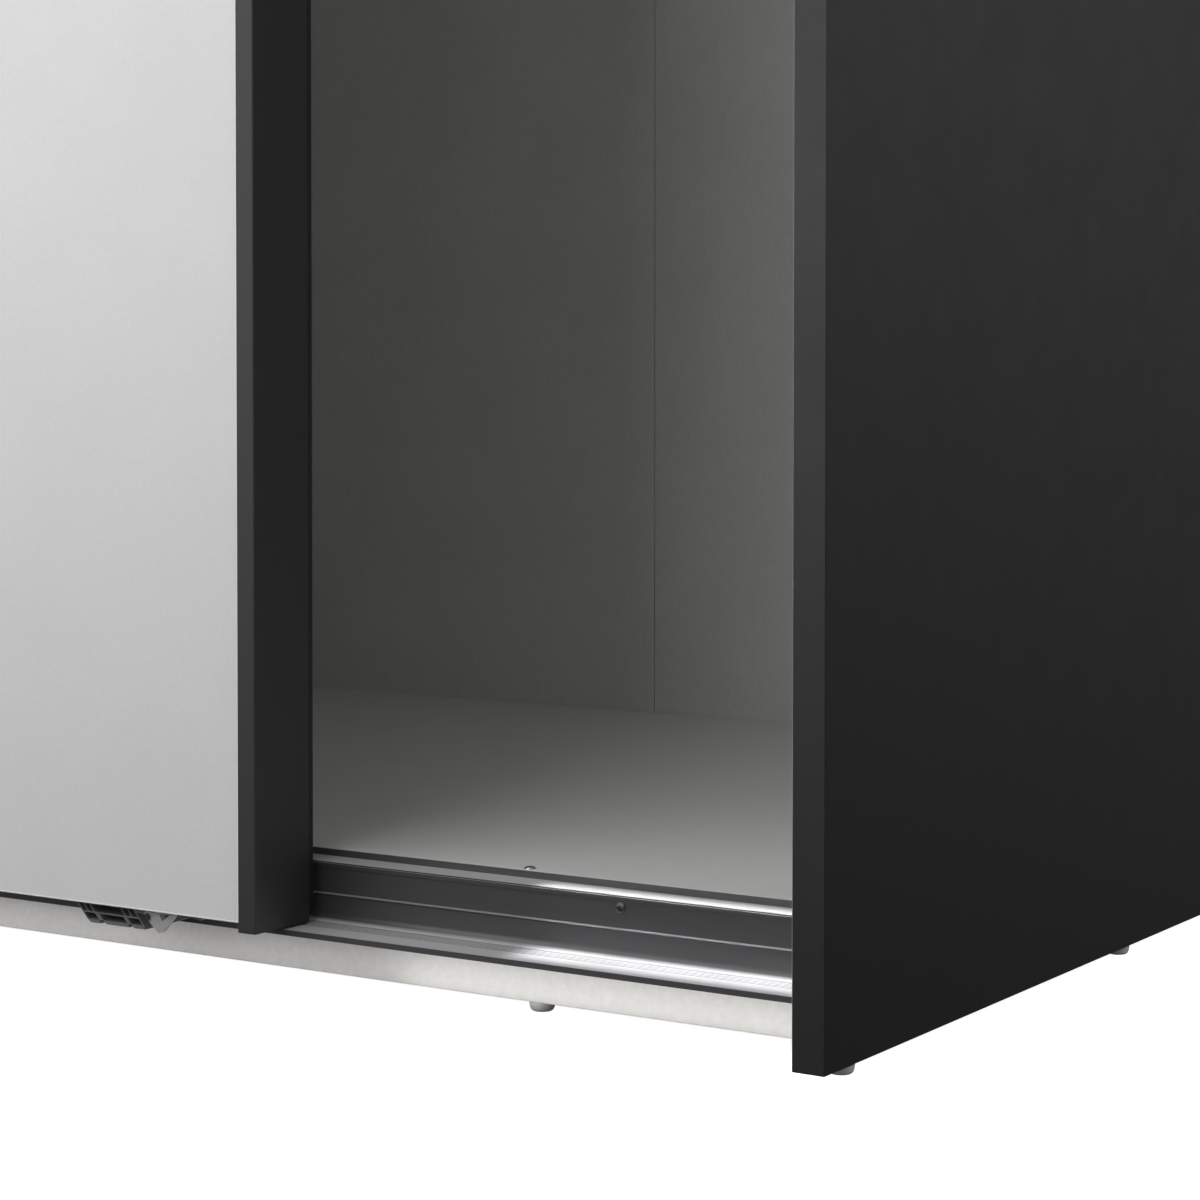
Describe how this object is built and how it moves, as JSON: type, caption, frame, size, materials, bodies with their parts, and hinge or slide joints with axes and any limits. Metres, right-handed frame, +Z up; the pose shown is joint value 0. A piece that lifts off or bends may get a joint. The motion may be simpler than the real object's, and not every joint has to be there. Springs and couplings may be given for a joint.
{
  "type": "sliding door wardrobe",
  "caption": "Tall free-standing wardrobe: board carcass, overlapping doors sliding on an overhead double-track rail and a stepped floor rail, with hat shelf and hanging rail in each bay.",
  "frame": {"origin": "on the floor, in the middle of the footprint", "axes": "+X along the width to the right seen from the front, +Y from the front to the back, +Z up"},
  "size_m": [1.92, 0.68, 2.188],
  "materials": {
    "graphite_board": "melamine-faced board, fine matt",
    "grey_board": "melamine-faced board, fine matt",
    "plinth_board": "melamine-faced board with a faint linen print",
    "back_sheet": "printed thin hardboard",
    "white_door_board": "melamine-faced board, satin",
    "dark_anodised_aluminium": "dark anodised extrusion, satin",
    "zinc_steel": "zinc-plated steel",
    "black_steel": "black-finished steel",
    "black_plastic": "moulded",
    "grey_plastic": "moulded",
    "nylon": "turned nylon",
    "black_rubber": "soft extruded",
    "chromed_steel": "chromed tube",
    "cast_zinc": "die-cast, bright",
    "beech": "fluted dowel"
  },
  "bodies": {
    "carcass": {"back_joiners": "grey_plastic", "back_panel_left_inner": "back_sheet", "back_panel_left_outer": "back_sheet", "back_panel_right_inner": "back_sheet", "back_panel_right_outer": "back_sheet", "bottom_board_left": "grey_board", "bottom_board_right": "grey_board", "cam_bolts": "zinc_steel", "cam_discs": "cast_zinc", "carcass_screws": "zinc_steel", "centre_partition": "grey_board", "clothes_rail_cups": "cast_zinc", "clothes_rails": "chromed_steel", "floor_stringers": "plinth_board", "glides": "grey_plastic", "hat_shelf_left": "grey_board", "hat_shelf_right": "grey_board", "lower_rail": "dark_anodised_aluminium", "lower_rail_screws": "black_steel", "partition_dowels": "beech", "plinth_front": "plinth_board", "plinth_rear": "plinth_board", "rail_end_stops": "black_rubber", "shelf_supports": "cast_zinc", "side_panel_left": "graphite_board", "side_panel_right": "graphite_board", "top_board": "graphite_board", "upper_rail": "dark_anodised_aluminium", "wall_anchors": "zinc_steel"},
    "front_door": {"front_door_axles": "zinc_steel", "front_door_fasteners": "zinc_steel", "front_door_handle_caps": "black_plastic", "front_door_handle_left": "dark_anodised_aluminium", "front_door_handle_right": "dark_anodised_aluminium", "front_door_hangers": "zinc_steel", "front_door_panel": "white_door_board", "front_door_seals": "black_rubber", "front_guide_left": "black_plastic", "front_guide_pins": "black_steel", "front_guide_right": "black_plastic"},
    "rear_door": {"rear_door_axles": "zinc_steel", "rear_door_fasteners": "zinc_steel", "rear_door_handle_caps": "black_plastic", "rear_door_handle_left": "dark_anodised_aluminium", "rear_door_handle_right": "dark_anodised_aluminium", "rear_door_hangers": "zinc_steel", "rear_door_panel": "white_door_board", "rear_door_seals": "black_rubber", "rear_guides": "black_plastic"},
    "front_roller_left": {"front_door_wheel_left": "nylon", "front_door_bearing_left": "zinc_steel"},
    "front_roller_right": {"front_door_wheel_right": "nylon", "front_door_bearing_right": "zinc_steel"},
    "rear_roller_left": {"rear_door_wheel_left": "nylon", "rear_door_bearing_left": "zinc_steel"},
    "rear_roller_right": {"rear_door_wheel_right": "nylon", "rear_door_bearing_right": "zinc_steel"},
    "guide_lever_left": {"front_guide_lever_left": "grey_plastic"},
    "guide_lever_right": {"front_guide_lever_right": "grey_plastic"}
  },
  "joints": [
    {"name": "front_door_slide", "type": "slide", "parent": "carcass", "child": "front_door", "axis": [1, 0, 0], "range_m": [-0.631, 0.292]},
    {"name": "rear_door_slide", "type": "slide", "parent": "carcass", "child": "rear_door", "axis": [1, 0, 0], "range_m": [0, 0.923]},
    {"name": "front_roller_left_spin", "type": "hinge", "parent": "front_door", "child": "front_roller_left", "pos_m": [-0.222, -0.3135, 2.1193], "axis": [0, 1, 0], "continuous": true},
    {"name": "front_roller_right_spin", "type": "hinge", "parent": "front_door", "child": "front_roller_right", "pos_m": [0.561, -0.3135, 2.1193], "axis": [0, 1, 0], "continuous": true},
    {"name": "rear_roller_left_spin", "type": "hinge", "parent": "rear_door", "child": "rear_roller_left", "pos_m": [-0.853, -0.262, 2.1193], "axis": [0, 1, 0], "continuous": true},
    {"name": "rear_roller_right_spin", "type": "hinge", "parent": "rear_door", "child": "rear_roller_right", "pos_m": [-0.07, -0.262, 2.1193], "axis": [0, 1, 0], "continuous": true},
    {"name": "guide_lever_left_turn", "type": "hinge", "parent": "front_door", "child": "guide_lever_left", "pos_m": [-0.215, -0.333, 0.0337], "axis": [0, 1, 0], "range_deg": [0, 25]},
    {"name": "guide_lever_right_turn", "type": "hinge", "parent": "front_door", "child": "guide_lever_right", "pos_m": [0.578, -0.333, 0.0337], "axis": [0, 1, 0], "range_deg": [0, 25]}
  ],
  "couplings": [
    {"joint": "front_roller_left_spin", "follows": "front_door_slide", "rad_per_m": 71.429},
    {"joint": "front_roller_right_spin", "follows": "front_door_slide", "rad_per_m": 71.429},
    {"joint": "rear_roller_left_spin", "follows": "rear_door_slide", "rad_per_m": 71.429},
    {"joint": "rear_roller_right_spin", "follows": "rear_door_slide", "rad_per_m": 71.429}
  ]
}
